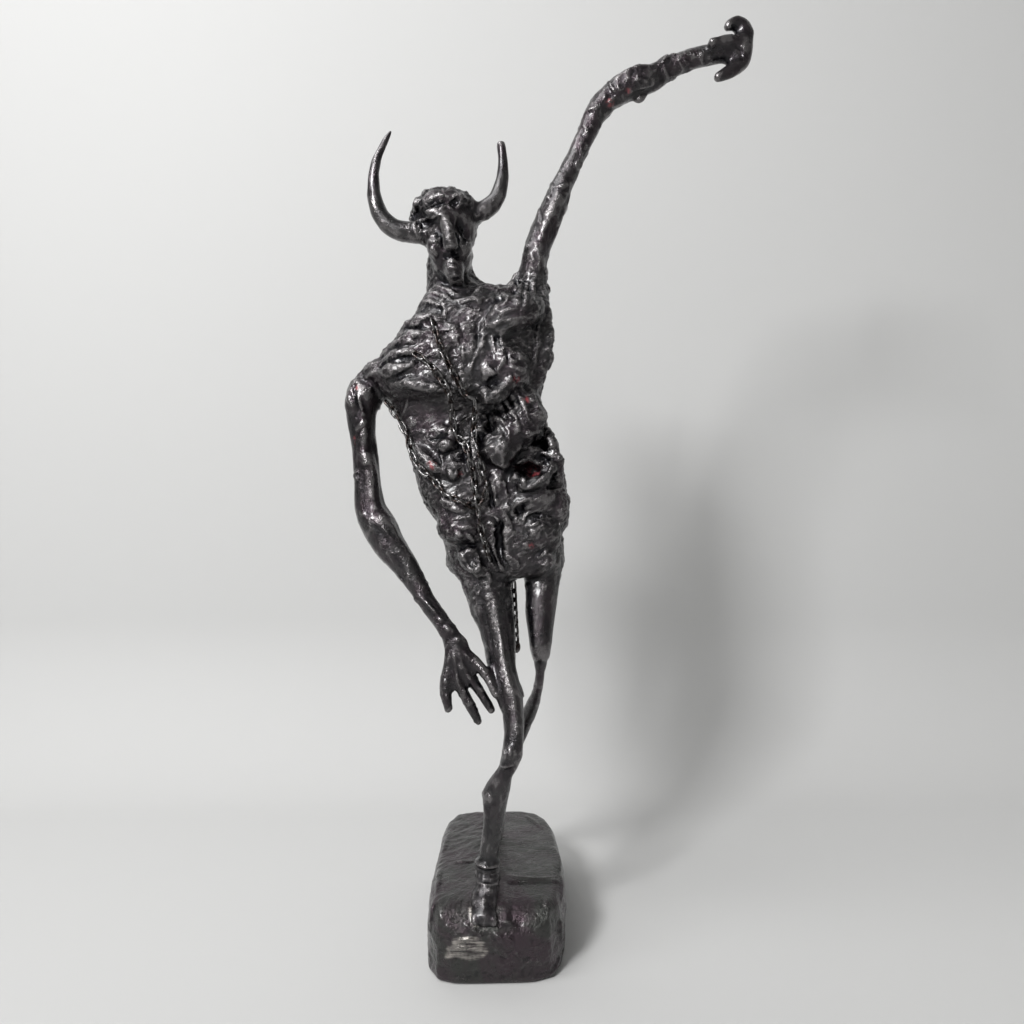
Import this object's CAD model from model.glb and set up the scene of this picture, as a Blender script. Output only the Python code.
"""The looks of a minotaur statue in dark cast bronze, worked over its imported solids. Metres, +Z up.
Wax is laid on the skin of the solid, fused with it, pressed and scratched, as a modeller works it up,
and the result is cast: one piece for the figure, one for its base, and real links for the chain.
"""

import math

import bmesh
import bpy
import numpy as np
from mathutils import Matrix, Vector
from mathutils.bvhtree import BVHTree


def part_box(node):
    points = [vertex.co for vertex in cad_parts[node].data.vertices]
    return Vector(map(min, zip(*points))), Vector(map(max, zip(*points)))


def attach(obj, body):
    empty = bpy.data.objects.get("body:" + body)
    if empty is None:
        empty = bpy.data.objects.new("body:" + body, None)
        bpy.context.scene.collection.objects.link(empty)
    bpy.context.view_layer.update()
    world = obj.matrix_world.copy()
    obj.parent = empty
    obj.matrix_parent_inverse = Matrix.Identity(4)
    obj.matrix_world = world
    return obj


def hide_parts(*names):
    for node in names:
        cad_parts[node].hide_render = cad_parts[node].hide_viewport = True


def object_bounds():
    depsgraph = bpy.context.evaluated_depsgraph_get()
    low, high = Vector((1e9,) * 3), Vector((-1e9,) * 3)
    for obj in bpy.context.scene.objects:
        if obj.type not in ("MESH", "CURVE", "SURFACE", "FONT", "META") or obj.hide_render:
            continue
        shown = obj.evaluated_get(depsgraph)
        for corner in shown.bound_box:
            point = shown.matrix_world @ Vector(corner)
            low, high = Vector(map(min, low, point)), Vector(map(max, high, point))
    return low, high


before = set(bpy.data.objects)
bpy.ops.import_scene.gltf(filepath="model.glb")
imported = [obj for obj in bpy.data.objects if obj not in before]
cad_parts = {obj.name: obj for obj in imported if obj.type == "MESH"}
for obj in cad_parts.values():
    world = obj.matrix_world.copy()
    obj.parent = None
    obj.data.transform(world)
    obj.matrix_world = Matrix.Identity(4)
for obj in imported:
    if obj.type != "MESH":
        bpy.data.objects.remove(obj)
SOLID_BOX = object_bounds()

# The photograph's camera
PHOTO_SIDE = 1024
SENSOR = 36.0
LENS = 28.125
CAMERA_PLACE = Vector((-0.009, -0.851, 0.468))
CAMERA_ANGLES = (math.radians(88), 0.0, math.radians(-1.9))

# The figure's proportions are thousandths of its own height, from the base's top
MM = 0.001
FIGURE_HEIGHT = 0.886
SHARE = FIGURE_HEIGHT / 1000
BASE_LOW, BASE_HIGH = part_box("base")

UP = Vector((0.0, 0.0, 1.0))
# Where the body's front stands, for a pixel that looks past it
FRONT_Y = -0.02

# How finely the skin is worked
FORM_VOXEL = 0.0016
WAX_VOXEL = 0.00105
FIGURE_TRIANGLES = 196000
BASE_VOXEL = 0.00125
# A plate of wax is left out where its ends would stand further than this from the skin
PLATE_LIFT = 0.0022

# The chain, as in the solids
LINK_PITCH = 0.0094
LINK_WIDTH = 0.0084
LINK_WIRE = 0.0029
CHAIN_CLEARANCE = 0.0043
TAIL_PLACE = (23.5, 3)
TAIL_LEAN = (0.05, -0.02, -1.0)
TAIL_LINKS = 7
DROP_WIDTH = 0.0088
DROP_HEIGHT = 0.0134

# Middle lines of the body's parts in shares, and how thick each is. They say which part a place is on.
BODY_LINES = {
    "torso": (68, [(16, 2, 345), (6, 2, 430), (-10, 2, 500), (-30, 0, 560), (-32, 0, 650)]),
    "shoulder": (26, [(-70, 0, 600), (-110, 0, 592), (-138, 4, 574)]),
    "hanging_arm": (18, [
        (-154, 0, 556), (-156, 0, 520), (-150, -6, 460), (-142, -12, 412), (-105, -28, 355), (-74, -46, 308),
    ]),
    "hanging_hand": (20, [(-56, -54, 284), (-44, -62, 250), (-40, -66, 215)]),
    "raised_arm": (15, [
        (48, 2, 712), (60, 2, 755), (80, 2, 800), (110, 1, 866),
        (143, -1, 910), (185, -5, 926), (250, -11, 950),
    ]),
    "raised_hand": (22, [(274, -16, 957), (292, -17, 957)]),
    "front_leg": (22, [
        (-6, -20, 312), (4, -40, 270), (20, -85, 190), (12, -94, 136), (1, -87, 95), (-8, -84, 20),
    ]),
    "rear_thigh": (20, [(56, -12, 320), (54, -34, 260)]),
    "rear_shin": (8, [(54, -28, 235), (44, 10, 172), (16, 68, 80), (2, 96, 20)]),
    "neck": (26, [(-50, 8, 700), (-40, 14, 662)]),
    "face": (26, [(-53, -24, 738), (-47, -24, 690)]),
    "hair": (30, [(-56, 8, 782), (-54, 14, 740)]),
    "left_horn": (9, [(-92, -7, 743), (-120, -8, 750), (-138, -10, 780), (-132, -10, 838)]),
    "right_horn": (9, [(-22, -7, 771), (2, -8, 786), (11, -9, 820), (8, -9, 851)]),
}
# How rough each part's cast skin is, from smooth to torn
ROUGHNESS = {
    "torso": 1.0, "shoulder": 0.85, "hanging_arm": 0.24, "hanging_hand": 0.30, "raised_arm": 0.42,
    "raised_hand": 0.22, "front_leg": 0.24, "rear_thigh": 0.16, "rear_shin": 0.22, "neck": 0.95,
    "face": 0.42, "hair": 1.0, "left_horn": 0.05, "right_horn": 0.05,
}


def strokes(lines):
    """Strokes of the hand, one to a line: name, radius and height in mm, then places in photo pixels."""
    found = {}
    for line in lines.splitlines():
        words = line.split()
        if words and words[0] != "#":
            pixels = [tuple(float(number) for number in word.split(",")) for word in words[3:]]
            found[words[0]] = (float(words[1]) * MM, float(words[2]) * MM, pixels)
    return found


# Broad forms of wax under the finer work
FORMS = strokes("""
    belly_strip 24 6 524,396 514,410 506,428 500,446 500,468
    belly_dome 20 5 494,442 500,450 503,460
    belly_end 11 4.5 500,466 498,480 497,492
    pec 26 5 450,352 476,350 496,354
    pec_lobe 15 5 486,352 488,366 484,382
    pec_lip 9 4.2 446,380 462,390 478,395 493,393 505,385 513,372
    shelf 18 4.4 482,324 500,317 524,310 544,303
    trapezius 12 4 474,294 488,288 502,292
    collar 9 3.5 458,303 470,299 483,302
    chest_left 12 3.5 440,318 452,328 458,344
    flank_plate_high 9 2 428,430 438,428 446,425
    flank_plate_low 9 2 434,445 442,442 450,440
    flank_lump 9 2.4 446,468 451,473 454,480
    flank_low 12 4 440,492 456,496 470,500
    side_ridge 8 2.6 546,372 550,352 550,330 546,306
    cavity_lip 6.5 3.4 517,489 532,486 545,478 553,466
    cavity_bridge 6 3 517,452 531,450 545,454 553,458
    waist_bulge 13 4 526,499 540,497 556,491
    hip_lump 10 2.4 526,528 534,529 542,526
    hip_low 11 2.4 534,566 546,562 555,556
    hip_left 12 2.4 446,524 460,526 474,522
    hip_left_low 12 2.4 452,552 466,560 480,560
    arm_knob 14 3 350,392 349,404 352,418
    elbow_bulge 14 2 374,512 386,524 396,538
    raised_elbow 14 4 611,92 624,82 646,78 660,74
    raised_wrist 8 2.5 676,62 688,58 696,56
    raised_step 11 2.6 560,190 551,204 546,220
    raised_root 11 2.6 538,240 534,258 532,272
    calf 9 3 487,780 486,794 487,806
    knee 9 2.6 508,744 508,758
    muzzle 8 3 450,262 453,270 456,279
""")

# The front foot runs down over the base's rounded near end
FOOT = strokes("""
    heel 15 9 484,884 484,900 484,914
    front 9 7 476,912 484,917 494,915
    left_toe 4 6 475,914 474,924
    right_toe 4 6 492,915 494,925
""")

# The wires round the ankle: the pixels that they cross
ANKLE_RINGS = [(488, 867), (488, 872.5), (488, 878), (488, 883.5)]
RING_RADIUS = 0.0020
RING_HEIGHT = 0.0019

# Rolls of wax laid where the photograph shows them
ROLLS = strokes("""
    # The shoulder's wrapped bands, photo left
    wrap_1 6 2.6 350,383 364,372 386,364 404,362 420,368
    wrap_2 5 2.4 357,371 374,360 396,352 416,352 428,358
    wrap_3 6 2.4 368,357 386,346 404,342 424,344
    wrap_4 5 2.6 378,344 396,335 414,333 432,338
    wrap_5 6 2.4 388,333 406,325 424,325 440,330
    wrap_6 5 2.2 398,321 414,314 430,315 444,319
    wrap_7 5 2.4 408,310 422,304 438,305 452,310
    wrap_8 4 2.2 416,300 430,294 446,297 458,301
    wrap_9 4 2.2 422,292 434,287 448,290 458,295
    wrap_fold 4 2 362,379 378,372 392,374
    wrap_knot 5 2.6 428,327 434,320 440,326 434,331
    # The chest
    collar_plate 8 2.6 459,302 469,299 482,302
    collar_drop 4 2.6 441,299 444,308 446,319
    collar_wire 1.2 1.4 438,329 448,330 458,326
    shelf_top 3.4 1 484,318 498,312 514,309 534,311
    shelf_middle 3 0.9 485,326 500,322 514,318 530,316
    shelf_low 2.6 1 486,333 500,330 512,326 524,319
    chest_plate_1 7 1.6 460,318 466,328 468,338
    chest_plate_2 6 1.8 450,334 456,344 460,354
    chest_drip_1 2.4 2.4 492,333 493,343 495,353
    chest_drip_2 2.2 2 480,345 477,353 472,363 470,373
    chest_drip_3 2 1.8 488,362 485,371 484,379
    chest_drip_4 2.4 1.8 500,336 503,346 502,356
    chest_drip_5 2.2 2 462,345 463,356 460,366
    plate_edge 2 2.2 507,366 516,368 526,371
    plate 8 1.6 514,353 522,356 530,360
    fold 3 1.8 514,373 508,382 500,390 490,396
    # The column down the photo-right side, and the slats at the raised arm's root
    slat_1 2.6 2.8 521,279 520,292 519,306
    slat_2 2.6 2.8 527,281 526,294 524,308
    slat_3 2.4 2.6 534,280 533,292 530,306
    slat_4 2.4 2.2 540,296 538,308 534,320
    slat_5 2 2.4 545,308 541,320 537,332
    column_1 4 2.6 547,300 549,312 547,324
    column_2 4 2.8 549,324 552,338 549,350
    column_3 3.6 2.8 546,346 551,358 549,372
    column_4 3.6 2.6 541,366 546,378 544,392
    column_5 3.4 2.4 538,336 537,350 533,364
    root_lump_1 3.4 3 498,300 503,295 508,300 502,305
    root_lump_2 3 3 508,290 513,288 517,293
    root_lump_3 3 2.8 510,302 516,299 518,305
    # The belly strip: folds that fan down from the chest, worms of wax, and the dome
    fan_1 3.2 2.2 513,388 520,398 526,410 529,422
    fan_2 3 2 510,392 515,403 521,414 524,426
    fan_3 3 2 520,386 528,396 534,406
    fan_4 2.6 2 505,398 510,408 516,419 519,430
    fan_5 2.4 2 498,402 503,412 508,423
    ring_by_hole 2.4 2.4 528,404 532,401 537,404 537,411 532,414
    hole_arc 2.2 2.2 524,404 526,414 530,421 535,427
    worm_1 2 2.4 494,404 499,409 505,408
    worm_2 2 2.2 492,413 497,419 503,421 508,428
    worm_3 1.8 2.2 485,414 486,421 482,426
    worm_4 1.8 2.2 503,426 509,431 508,438
    dome_arc 2 2.2 485,447 490,440 498,437 506,439
    dome_crease 2 1.6 490,455 494,462 501,466 509,463
    # The cavities' rims and ridges
    cavity_high_rim 2 2.6 527,437 532,433 539,430
    cavity_ridge 2.6 2.6 518,448 530,449 542,452 553,457
    cavity_rim 1.8 3 550,459 551,467 546,476 536,483 526,488 519,483
    cavity_tooth 2 3.4 520,476 523,481 526,486
    slot_ridge 2.2 2.6 515,504 523,501 532,498
    # The left flank
    flank_plate_1 5 2.6 436,434 441,431 447,428
    flank_plate_2 5 2.8 438,448 444,445 451,442
    flank_drip 1.6 2.2 441,452 443,460 443,468
    flank_lump_1 4.5 3 447,470 451,474 453,479
    flank_lump_2 4 2.6 440,482 446,486 452,487
    middle_cord 3.4 2.4 466,436 469,450 471,464 474,478
    flank_line_1 1.6 1.6 400,416 408,425 414,436
    flank_line_2 1.6 1.6 408,398 406,408 402,418
    lower_ridge_1 2.4 2.2 494,486 495,495 497,504
    lower_ridge_2 2.4 2.2 486,484 488,494 488,503
    lower_ridge_3 2.2 2 503,480 506,490 508,500
    # The pelvis
    hip_band_1 4 2.2 444,506 456,510 470,514
    hip_band_2 3.6 2.4 452,519 464,517 476,517
    hip_band_3 2 2.4 462,528 467,527 473,527
    hip_lump_1 3 3 454,530 458,534 463,536
    hip_lump_2 3 2.6 466,534 471,538 474,543
    knot_ring 1.8 2.6 486,519 491,516 497,519 498,526 493,530 487,528
    knot_eye 3 2.6 490,523 493,524
    crack_1 1.3 2 519,533 523,523 525,515 533,511 541,508
    crack_2 1.3 2 541,509 542,517 537,524 530,526 522,526
    hip_leaf 2.4 2.6 537,558 544,554 549,547
    hip_leaf_low 2.2 2.2 530,551 537,550 543,545
    hip_edge 2.2 2.2 560,530 561,538 559,547
    curl_arc 1.8 3.2 464,558 468,564 471,569 476,570 479,565 478,558
    curl_eye 2.2 3 473,563 475,565
    curl_back 2.4 2.4 459,552 463,556 466,562
    thigh_oval 1.6 2.2 483,573 487,574 488,580 484,583 481,579
    thigh_drop 2.4 2.2 477,574 480,578
    groin_cord 3 2.4 492,548 498,560 504,572
    # The hanging arm
    deltoid_flap 4 2.4 351,388 349,397 353,407
    deltoid_edge 2.2 2.6 359,396 361,406 364,416
    arm_tie 2.6 2 356,431 361,425 366,421
    arm_bump 3 2.2 353,470 355,476 358,480
    vein_1 1.8 1 380,524 385,531 391,538 397,542
    vein_2 1.6 0.8 389,551 395,553 401,550
    vein_3 1.6 0.8 390,530 396,536 400,544
    forearm_vein 1.8 1.8 417,594 425,601 433,610 438,617
    wrist_bump_1 3 2 440,618 442,622
    wrist_bump_2 4 2 446,627 449,631
    wrist_bump_3 3.4 2 456,638 459,641
    # The hanging hand: tendons that fan from the wrist, and knuckles
    tendon_1 1.6 1 450,650 448,662 447,674 447,684
    tendon_2 1.6 1.2 454,652 455,664 457,678 461,690
    tendon_3 1.6 1.2 457,652 462,663 467,673 473,684
    tendon_4 1.6 1 461,650 467,656 473,662
    knuckle_1 2.8 1.6 445,680 446,684
    knuckle_2 2.8 1.8 459,664 462,669
    knuckle_3 2.8 1.8 468,675 470,679
    finger_joint_1 3 1.2 446,694 447,698
    finger_joint_2 2.8 1.2 468,702 470,706
    finger_joint_3 2.6 1.2 480,688 483,692
    # The raised arm
    forearm_worm_1 1.8 1.8 610,83 612,88 616,92
    forearm_worm_2 1.8 1.8 618,85 620,90 626,86
    forearm_worm_3 2.2 1.8 632,82 640,79 648,82
    forearm_worm_4 1.8 1.6 624,96 634,90 646,87 656,83
    elbow_lump_1 4 3 634,100 641,99 647,95
    elbow_lump_2 3 2.6 654,90 659,86 664,82
    elbow_lump_3 3.4 2.2 610,106 618,104 626,101
    elbow_rim 1.6 1.8 586,112 591,109 598,109
    arm_plate 3.4 1.6 584,124 587,132 585,140
    arm_ring 1.6 1.8 582,142 586,145 583,149 579,146
    arm_worm 2 2.4 580,147 581,156 583,164 579,170
    arm_knob 3.6 3 582,162 584,167
    arm_step 2.4 2 554,188 561,187 568,184
    arm_lump 4.5 2.2 547,192 547,198
    arm_worm_low 2 1.8 538,220 541,224 545,223 541,229
    wrist_band_1 3 1.6 664,68 666,75 669,80
    wrist_band_2 3 1.4 680,62 683,69 685,74
    wrist_band_3 2.6 1.2 699,56 702,62 703,67
    # The front leg
    knee_1 2 1.8 504,749 506,755 505,760
    knee_2 2 1.8 509,747 510,754 509,760
    knee_3 2 1.6 514,749 514,755 512,760
    knee_band 2.4 1.6 500,764 506,767 514,764
    thigh_vein 1.4 1.2 495,668 498,676 500,684 503,692
    thigh_vein_2 1.2 1 498,671 501,678 500,686
    thigh_bump_1 3 2.2 451,572 455,579 460,585
    thigh_bump_2 2.6 2.2 462,584 466,590 469,597
    thigh_bump_3 2.2 1.8 473,590 478,593 483,592
    # The face
    cheek_1 2.4 1.6 428,234 432,236 437,234
    cheek_2 2 1.4 427,241 432,242 438,240
    cheek_plate 3.6 2 431,247 434,251 438,256
    jaw_left 2.2 1.2 428,250 434,260 441,270 448,280
    lip_upper 2.6 1.6 445,260 450,259 456,261
    lip_lower 2.2 1.4 447,268 452,267 457,268
    chin_1 2.6 1.4 450,276 455,275 461,276
    cheek_right 2.6 1.6 459,232 461,238 460,246
    cheek_right_2 2.4 1.6 467,229 468,238 466,246
    nostril_left 2 1.2 442,250 444.5,253
    nostril_right 2 1.2 455,250 457,253
    horn_collar_left 2.4 1.6 414,222 415,230 418,237
    horn_collar_right 2.4 1.8 473,213 477,216 480,214
    # Locks that frame the brow
    lock_1 3.6 3 420,212 426,202 436,197 445,195
    lock_2 3.2 2.8 424,213 428,207 436,203 444,199
    lock_3 3 2.6 413,214 415,205 421,199
    lock_4 3.2 2.8 448,205 452,198 458,195 464,198
    lock_5 2.8 2.6 456,208 462,204 468,205
    lock_6 3 2.6 440,210 446,207 452,210
""")

# Sharp crests drawn up from the skin: the radius is half their width
CRESTS = strokes("""
    thigh 9 4.4 484,566 488,583 493,600 498,627 503,655 508,680 514,700 517,735 516,756
    thigh_side 6 1.2 504,600 506,612 509,624 512,640
    arm_high 9 3.6 362,412 364,424 364.5,438 364.5,452 366,466
    arm_low 9 4 367,452 370,464 372,480 373,498 377,512
    elbow 10 2.2 374,502 384,517 394,532 404,550 416,572
    nose 8 5 444,215 446.5,222 448,230 449.5,238 452,250
    brow 3 2.8 414,224 420,221 428,218 436,216 443,214
    raised_forearm 8 3.2 568,179 558,200 549,219 542,236 539,256
    raised_top 6 2 612,76 622,71 635,68 652,67
    shin 5 1.2 484,800 485,818 483,842 481,858
""")

# Grooves pressed into the skin, in the same way
GROOVES = strokes("""
    sternum 5 3.2 477,318 478,334 477,348 473,362
    seam 2.6 2.6 498,347 508,345 522,343
    plate_crack 1.8 1.8 511,355 516,358 521,363
    plate_side 2.4 2.4 507,348 508,358 509,368
    deltoid 2.4 3.4 356,383 354,391 357,401 360,412
    red_crease 2.2 3 512,371 514,378 519,385
    mouth 1.6 1.8 447,264 452,263.5 458,264
    nose_base 3.2 4 443,256 449,257 459,256
    nose_side 2.8 1.2 438,220 438,232 439,246
    eye_left 6 5 420,226 427,224.5 438,224
    eye_right 9 8 456,222 462,226 466,234 464,246
    flank_gap 2.6 3 430,440 438,439 449,434
    flank_pit 4 4 459,468 461,474 460,480
    groin 6 4 498,520 499,538 502,556 508,572
    groin_low 4 3 488,542 492,556 500,570
    slot 3.2 3.6 514,509 520,507 528,503
    waist 3.4 2.6 506,508 512,518 516,530
    column_gap 2.4 3 536,322 535,338 531,352
    slat_gap_1 1.4 2.6 523.5,281 523,294 521,307
    slat_gap_2 1.4 2.6 530,281 529,294 527,307
    palm_gap 2.2 2 735,46 741,50 742,58
""")

# Chance rolls of wax: the part they are on, how many, the roll's length, radius and height in mm, the
# turn of its heading from level or from the part's own line, and how far that turn wanders
CHANCE_ROLLS = [
    ("torso", 220, 13, 1.3, 0.9, 15, 40),
    ("torso", 70, 30, 3.2, 1.3, 20, 40),
    ("torso", 160, 5, 1.3, 1.1, 0, 90),
    ("shoulder", 150, 26, 1.5, 1.0, 30, 14),
    ("shoulder", 30, 8, 1.6, 1.2, 0, 80),
    ("neck", 170, 8, 1.2, 1.2, 70, 60),
    ("hair", 260, 6, 1.2, 1.2, 0, 90),
    ("face", 50, 6, 0.9, 0.5, 60, 70),
    ("hanging_arm", 30, 22, 2.0, 0.5, 90, 12),
    ("hanging_arm", 16, 5, 1.6, 0.8, 90, 80),
    ("hanging_hand", 60, 6, 1.3, 0.8, 90, 40),
    ("raised_arm", 60, 16, 2.0, 1.0, 90, 26),
    ("raised_arm", 40, 6, 1.8, 1.3, 90, 80),
    ("raised_hand", 14, 6, 1.5, 0.5, 0, 60),
    ("front_leg", 60, 40, 1.8, 0.5, 90, 7),
    ("rear_thigh", 18, 28, 2.2, 0.4, 90, 10),
    ("rear_shin", 16, 12, 1.6, 0.5, 90, 20),
]
# Chance plates of wax, pressed on one over the other: part, how many, length, width and thickness in mm
CHANCE_PLATES = [
    ("torso", 130, 17, 10, 2.0), ("torso", 150, 9, 5, 1.6),
    ("shoulder", 60, 18, 6, 1.6), ("neck", 30, 9, 5, 1.6),
    ("hair", 40, 6, 4, 1.4), ("raised_arm", 40, 16, 8, 1.6), ("hanging_arm", 12, 20, 9, 1.2),
    ("front_leg", 12, 26, 9, 1.1),
]
# Places where the skin is calmer than round it: photo pixel and radius in mm
CALM_SPOTS = [
    ((499, 450), 30), ((412, 412), 44), ((542, 495), 22),
    ((486, 366), 24), ((515, 318), 22), ((546, 620), 60),
]

# Rust that breaks through in the hollows: photo pixel and radius in mm
RUST_SPOTS = [
    ((534, 475), 8.0), ((432, 465), 5.0), ((516, 379), 4.0), ((526, 400), 4.0), ((610, 103), 4.0),
    ((628, 92), 3.0), ((460, 474), 3.5), ((530, 546), 3.5), ((354, 440), 3.0), ((356, 388), 3.0),
]
RUST_COLOUR = (0.26, 0.035, 0.042, 1)
WORN_COLOUR = (0.36, 0.335, 0.31, 1)

# The base's near end, the step in its top, and what is laid on it, in the same way as on the figure
NEAR_ROUND = 0.032
STEP_X = 0.012
STEP_Y = -0.062
STEP_DROP = 0.0024
BASE_ROLLS = strokes("""
    step_edge 3 1.6 504,874 520,877 538,878 552,877
    relief_1 3 2 493,933 499,938 502,945
    relief_2 3.4 2.2 505,936 511,941 512,949
    relief_3 2.8 2 494,950 502,953 509,959
    relief_4 2.8 1.8 514,953 520,957 523,964
    relief_5 2.2 1.4 518,968 525,966 531,960
    relief_6 3 1.6 500,921 510,924 519,930
    relief_7 3 1.6 464,924 472,930 482,934
    dark_pit_rim 2.6 1.6 540,894 546,899 545,906
    skirt_1 4 3 553,846 558,858 560,872
    skirt_2 4 2.6 561,876 562,890 561,902
    skirt_3 4.4 3 562,918 562,934 563,950
    skirt_4 4 2.8 561,956 557,966 550,975
    left_1 3 2.2 448,834 445,844 443,852
    left_2 3.2 2.6 440,868 438,880 436,892
    left_3 3 2.2 433,902 431,914 430,926
    back_1 3.2 2.4 454,812 464,809 474,809
    back_2 3 2.2 524,815 534,821 542,829
""")
WORN_ROLLS = strokes("""
    worn_1 2.4 1.4 455,943 464,940 475,941 481,945
    worn_2 2.6 1.6 449,951 460,948 473,949 485,952
    worn_3 2 1.2 447,957 458,956 470,958 482,956
    worn_4 2 1.4 471,910 473,917 476,923
""")

# The chain's routes over the front of the torso in shares, as in the solids
CHAIN_MEETING = (-19, -58, 424)
STRANDS = {
    "long": [
        (-89, -56, 596), (-76, -60, 592), (-70, -62, 581), (-64, -62, 570), (-54, -62, 561),
        (-50, -60, 548), (-48, -58, 530), (-42, -60, 517), (-39, -62, 501), (-35, -62, 490),
        (-31, -62, 470), (-25, -60, 449), (-20, -58, 428), (-17, -58, 409), (-15, -58, 396),
        (-11, -56, 384), (-7, -52, 370), (-4, -48, 358),
    ],
    "short": [
        (-14, -58, 431), (-8, -60, 440), (-5, -62, 452), (-8, -62, 463), (-14, -62, 475),
        (-18, -64, 489), (-24, -64, 503), (-27, -62, 521), (-30, -60, 539), (-35, -60, 552),
        (-39, -62, 562), (-45, -64, 570), (-49, -64, 580), (-56, -62, 591), (-62, -62, 603),
        (-65, -62, 616), (-69, -62, 634),
    ],
    "side": [
        (-27, -60, 426), (-36, -60, 429), (-46, -58, 433), (-55, -58, 439), (-66, -56, 446),
        (-77, -50, 455), (-86, -42, 465), (-95, -33, 479), (-101, -27, 495), (-111, -22, 513),
        (-121, -20, 529), (-128, -18, 540), (-133, -14, 548),
    ],
}


def at(x, y, z):
    """A place given in thousandths of the figure's height."""
    return Vector((x * SHARE, y * SHARE, BASE_HIGH.z + z * SHARE))


def select_only(piece):
    bpy.ops.object.select_all(action="DESELECT")
    piece.select_set(True)
    bpy.context.view_layer.objects.active = piece


def worked(piece, kind, **settings):
    """One modifier added, set and applied."""
    select_only(piece)
    bpy.ops.object.modifier_add(type=kind)
    modifier = piece.modifiers[-1]
    for name, value in settings.items():
        setattr(modifier, name, value)
    bpy.ops.object.modifier_apply(modifier=modifier.name)


def copy_of_node(node, name):
    """The CAD node's form as a new piece, its loose triangles merged."""
    piece = bpy.data.objects.new(name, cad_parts[node].data.copy())
    piece.data.materials.clear()
    bpy.context.scene.collection.objects.link(piece)
    select_only(piece)
    bpy.ops.object.mode_set(mode="EDIT")
    bpy.ops.mesh.select_all(action="SELECT")
    bpy.ops.mesh.remove_doubles(threshold=0.00001)
    bpy.ops.object.mode_set(mode="OBJECT")
    return piece


def read(items, name, width, kind=float):
    """One row of values for each of a mesh's items."""
    values = np.zeros(len(items) * width, kind)
    items.foreach_get(name, values)
    return values.reshape(-1, width)


class Skin:
    """A piece's surface, found by a pixel of the photograph or by the nearest place."""

    def __init__(self, piece):
        bpy.context.view_layer.update()
        self.tree = BVHTree.FromObject(piece, bpy.context.evaluated_depsgraph_get())
        self.turn = Matrix.Rotation(CAMERA_ANGLES[2], 3, "Z") @ Matrix.Rotation(CAMERA_ANGLES[0], 3, "X")
        self.middles = read(piece.data.polygons, "center", 3)
        self.areas = read(piece.data.polygons, "area", 1)[:, 0]

    def nearest(self, place):
        found, normal, _, _ = self.tree.find_nearest(place)
        return found, normal

    def seen(self, px, py):
        """The place on the skin that the photograph shows at a pixel."""
        middle = PHOTO_SIDE / 2
        distance = PHOTO_SIDE * LENS / SENSOR
        look = (self.turn @ Vector((px - middle, middle - py, -distance))).normalized()
        place = self.tree.ray_cast(CAMERA_PLACE, look)[0]
        if place is None:
            depth = (FRONT_Y - CAMERA_PLACE.y) / look.y
            place = self.nearest(CAMERA_PLACE + look * depth)[0]
        return place


def body_weights(points):
    """How much each place belongs to each part of the body, each row adding up to one."""
    scores = []
    for thickness, line in BODY_LINES.values():
        stations = [np.array(at(*station)) for station in line]
        best = np.full(len(points), 1e9)
        for a, b in zip(stations, stations[1:]):
            along = b - a
            share = np.clip(((points - a) @ along) / (along @ along), 0, 1)
            best = np.minimum(best, np.linalg.norm(points - a - share[:, None] * along, axis=1))
        scores.append(best / (thickness * SHARE))
    scores = np.array(scores).T
    near = scores.min(axis=1, keepdims=True)
    weights = np.exp(-(scores - near) * 5.0)
    return weights / weights.sum(axis=1, keepdims=True)


PARTS = list(BODY_LINES)


def part_line_heading(part, place):
    """The direction in which a part's middle line runs beside a place."""
    stations = [at(*station) for station in BODY_LINES[part][1]]
    best = None
    for a, b in zip(stations, stations[1:]):
        along = b - a
        share = max(0.0, min(1.0, (place - a).dot(along) / along.length_squared))
        gap = (place - a - along * share).length
        if best is None or gap < best[0]:
            best = (gap, along.normalized())
    return best[1]


def eased_line(stations, pieces=4):
    """A smooth line through stations, by Catmull and Rom's rule."""
    line = []
    last = len(stations) - 1
    for index in range(last):
        before, here = stations[max(index - 1, 0)], stations[index]
        after, beyond = stations[index + 1], stations[min(index + 2, last)]
        for step in range(pieces):
            t = step / pieces
            line.append(
                0.5 * (2 * here + (after - before) * t + (2 * before - 5 * here + 4 * after - beyond) * t**2
                       + (3 * here - before - 3 * after + beyond) * t**3)
            )
    line.append(stations[-1].copy())
    return line


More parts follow.
